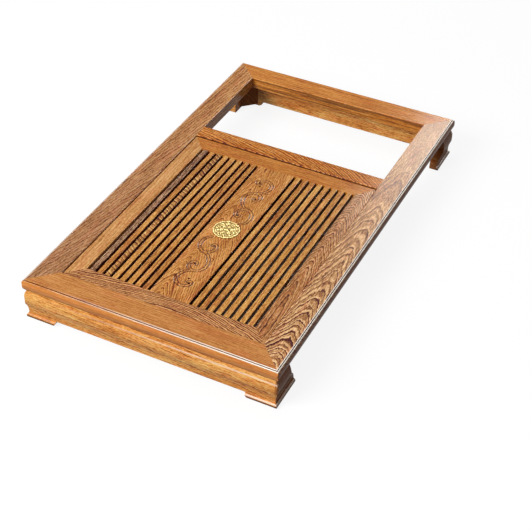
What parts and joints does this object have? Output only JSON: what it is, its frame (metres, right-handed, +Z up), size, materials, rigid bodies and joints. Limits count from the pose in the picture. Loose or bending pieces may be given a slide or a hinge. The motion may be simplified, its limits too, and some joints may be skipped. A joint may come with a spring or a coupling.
{
  "type": "tea table",
  "caption": "Low hardwood tea table with a slatted lift-out drain panel over a steel water tray, an open kettle bay, an ice-plate edge, swelling aprons and bracket feet.",
  "frame": {"origin": "on the floor under the middle of the table", "axes": "X across the table, Y along it towards the kettle bay, Z up"},
  "size_m": [0.46, 0.78, 0.08],
  "materials": {
    "wood": "gloss lacquer",
    "brass": "satin",
    "tray_steel": "brushed"
  },
  "bodies": {
    "table_frame": {"apron_back": "wood", "apron_front": "wood", "corner_block_back_left": "wood", "corner_block_back_right": "wood", "corner_block_front_left": "wood", "corner_block_front_right": "wood", "cross_rail": "wood", "divider_board": "wood", "front_board": "wood", "ledge_back": "wood", "ledge_front": "wood", "ledge_left": "wood", "ledge_right": "wood", "leg_back_left": "wood", "leg_back_right": "wood", "leg_front_left": "wood", "leg_front_right": "wood", "mitre_splines": "wood", "rail_back": "wood", "rail_front": "wood", "rail_left": "wood", "rail_right": "wood", "runner_left": "wood", "runner_right": "wood", "side_board_left": "wood", "side_board_right": "wood"},
    "slat_panel": {"batten_back": "wood", "batten_front": "wood", "centre_board": "wood", "medallion": "brass", "panel_rail_back": "wood", "panel_rail_front": "wood", "panel_splines": "wood", "panel_stile_left": "wood", "panel_stile_right": "wood", "slat_left_1": "wood", "slat_left_2": "wood", "slat_left_3": "wood", "slat_left_4": "wood", "slat_left_5": "wood", "slat_left_6": "wood", "slat_left_7": "wood", "slat_left_8": "wood", "slat_right_1": "wood", "slat_right_2": "wood", "slat_right_3": "wood", "slat_right_4": "wood", "slat_right_5": "wood", "slat_right_6": "wood", "slat_right_7": "wood", "slat_right_8": "wood"},
    "water_tray": {"water_tray": "tray_steel"}
  },
  "joints": [
    {"name": "panel_lift", "type": "slide", "parent": "table_frame", "child": "slat_panel", "axis": [0, 0, 1], "range_m": [0, 0.12]},
    {"name": "tray_lift", "type": "slide", "parent": "table_frame", "child": "water_tray", "axis": [0, 0, 1], "range_m": [0, 0.06]}
  ],
  "couplings": [
    {"joint": "tray_lift", "follows": "panel_lift", "ratio": 0.5}
  ]
}
